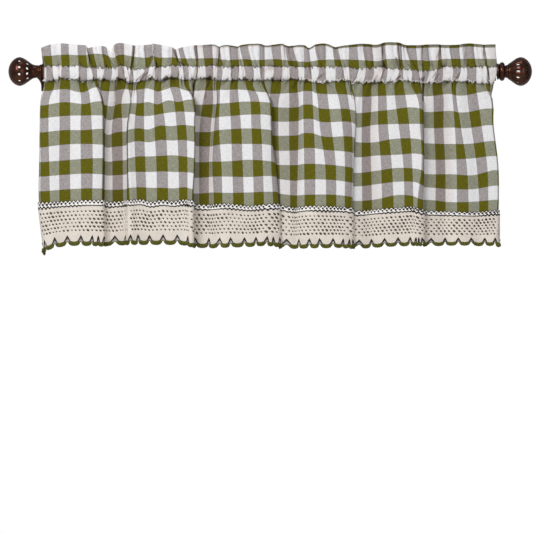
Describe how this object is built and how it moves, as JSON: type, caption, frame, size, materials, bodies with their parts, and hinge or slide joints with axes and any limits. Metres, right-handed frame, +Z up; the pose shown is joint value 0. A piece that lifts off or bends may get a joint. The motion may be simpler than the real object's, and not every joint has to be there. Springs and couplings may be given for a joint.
{
  "type": "window valance on a curtain rod",
  "caption": "Short gathered gingham window valance with a rod pocket, frilled heading and scalloped lace border, on a bracketed rod with ball finials.",
  "frame": {"origin": "middle of the left bracket's face on the wall", "axes": "+X along the rod from the left bracket to the right one as seen from the room, +Y into the wall, +Z up"},
  "size_m": [0.9174, 0.0999, 0.3616],
  "materials": {
    "gingham_cotton": "matte woven cotton in white, greys and olive green checks",
    "cream_lace": "matte cream cotton net lace",
    "green_edging": "matte dark green crochet thread",
    "dark_bronze": "satin dark bronze"
  },
  "bodies": {
    "root": {"valance_cloth": "gingham_cotton", "lace_border": "cream_lace", "scallop_edging": "green_edging", "rod": "dark_bronze", "finial_left": "dark_bronze", "finial_right": "dark_bronze", "bracket_left": "dark_bronze", "bracket_right": "dark_bronze"}
  },
  "joints": []
}
